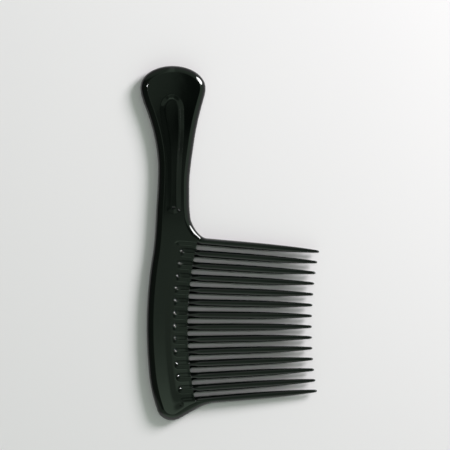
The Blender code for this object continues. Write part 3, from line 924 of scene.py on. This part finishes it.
# strength down the middle of the room, from the knob's side to the butt's side
middleStrengths = [
    (-0.80, 0.90), (-0.60, 0.42), (-0.36, 0.36), (-0.31, 0.22), (-0.25, 0.22), (-0.195, 0.86),
    (-0.15, 0.98), (-0.115, 0.54), (-0.080, 0.34), (-0.006, 0.32), (0.003, 0.13), (0.012, 0.12),
    (0.022, 0.15), (0.040, 0.14), (0.060, 0.00), (0.105, 0.03), (0.150, 0.18), (0.30, 0.22),
    (0.45, 0.32), (0.60, 0.32), (0.80, 0.42),
]
# dim places to the right of the middle, for the walls of the recess that mirror them
dimPlaces = {
    "leftWall": {"y": (0.02, 0.36, 0.03), "x": (0.32, 0.46, 0.06), "strength": 0.06},
    "crownCorner": {"y": (-0.175, -0.095, 0.02), "x": (0.28, 0.46, 0.05), "strength": 0.30},
    "crown": {"y": (-0.32, -0.185, 0.03), "x": (0.28, 0.46, 0.05), "strength": 0.12},
}


def softRoom():
    world = bpy.data.worlds.new("softRoom")
    world.use_nodes = True
    tree = world.node_tree
    make = nodeMaker(tree)
    heading = make("ShaderNodeTexCoord").outputs["Generated"]
    parts = make("ShaderNodeSeparateXYZ", {"Vector": heading}).outputs
    x, y = parts["X"], parts["Y"]

    def blend(mask, low, high):
        mix = make("ShaderNodeMix", {"Factor": mask, "A": low, "B": high}, data_type="FLOAT")
        return mix.outputs["Result"]

    def both(first, second):
        return calc(make, "MULTIPLY", first, second)

    def window(value, low, high, edge):
        # 1 between the two limits, fading to 0 over an edge outside each
        return both(ramp(make, value, low - edge, low), ramp(make, value, high + edge, high))

    # down the middle
    first, last = middleStrengths[0][0], middleStrengths[-1][0]
    share = make("ShaderNodeMapRange", {"Value": y, "From Min": first, "From Max": last}).outputs["Result"]
    sky = make("ShaderNodeValToRGB", {"Fac": share})
    stops = sky.color_ramp.elements
    for place, strength in middleStrengths[1:-1]:
        stops.new((place - first) / (last - first))
    for stop, (place, strength) in zip(stops, middleStrengths):
        stop.color = (strength, strength, strength, 1)
    middle = sky.outputs["Color"]
    strip = ramp(make, x, *room["stripEdge"], 1, room["stripShare"])
    centre = blend(window(y, *room["stripWindow"]), middle, both(middle, strip))
    slant = make("ShaderNodeVectorMath", {0: heading, 1: room["patchAxis"]}, operation="DOT_PRODUCT")
    patch = ramp(make, slant.outputs["Value"], *room["patchEdge"], 0, room["patchStrength"])
    centre = calc(make, "ADD", centre, both(patch, ramp(make, x, *room["patchSide"])))
    for dim in dimPlaces.values():
        centre = blend(both(window(y, *dim["y"]), window(x, *dim["x"])), centre, dim["strength"])

    # to the left, then far left and far right
    beside = ramp(make, y, *room["besideEdge"], *room["besideStrength"])
    upper = both(*(ramp(make, y, *edge) for edge in room["besideUpper"]))
    beside = blend(upper, beside, room["besideUpperStrength"])
    beside = blend(window(y, *room["besideLower"]), beside, room["besideLowerStrength"])
    light = blend(ramp(make, x, *room["centreEdge"]), beside, centre)
    lean = calc(make, "MULTIPLY_ADD", calc(make, "MAXIMUM", y, 0), room["farLeftLean"], x)
    farLeft = both(ramp(make, lean, *room["farLeftEdge"]), ramp(make, y, *room["farLeftStart"]))
    light = blend(farLeft, light, room["farLeftStrength"])
    light = blend(ramp(make, x, *room["farRightEdge"]), light, room["farRightStrength"])

    # a green cast overhead, plain grey towards the horizon; its sockets are numbered as in blackPlastic
    cast = make("ShaderNodeMix", {
        "Factor": ramp(make, parts["Z"], *room["castEdge"]), 6: room["horizon"], 7: room["overhead"],
    }, data_type="RGBA")
    background = tree.nodes["Background"]
    tree.links.new(cast.outputs[2], background.inputs["Color"])
    tree.links.new(light, background.inputs["Strength"])
    bpy.context.scene.world = world


lamps = {
    "glintLamp": {"place": (-0.27, 0.27, 1.50), "size": 0.08, "power": 2.5},
    "mainLamp": {"place": (1.069, 0.835, 0.848), "size": 0.70, "power": 28},
}


def makeLights():
    softRoom()
    for name, lamp in lamps.items():
        data = bpy.data.lights.new(name, "AREA")
        data.shape = "DISK"
        data.size = lamp["size"]
        data.energy = lamp["power"]
        item = bpy.data.objects.new(name, data)
        bpy.context.scene.collection.objects.link(item)
        item.location = lamp["place"]
        item.rotation_mode = "QUATERNION"
        item.rotation_quaternion = (-Vector(lamp["place"])).to_track_quat("-Z", "Y")
    bpy.context.scene.view_settings.view_transform = "Standard"
    print("lights set")


makeComb()
makeFloor()
makeCamera()
makeLights()
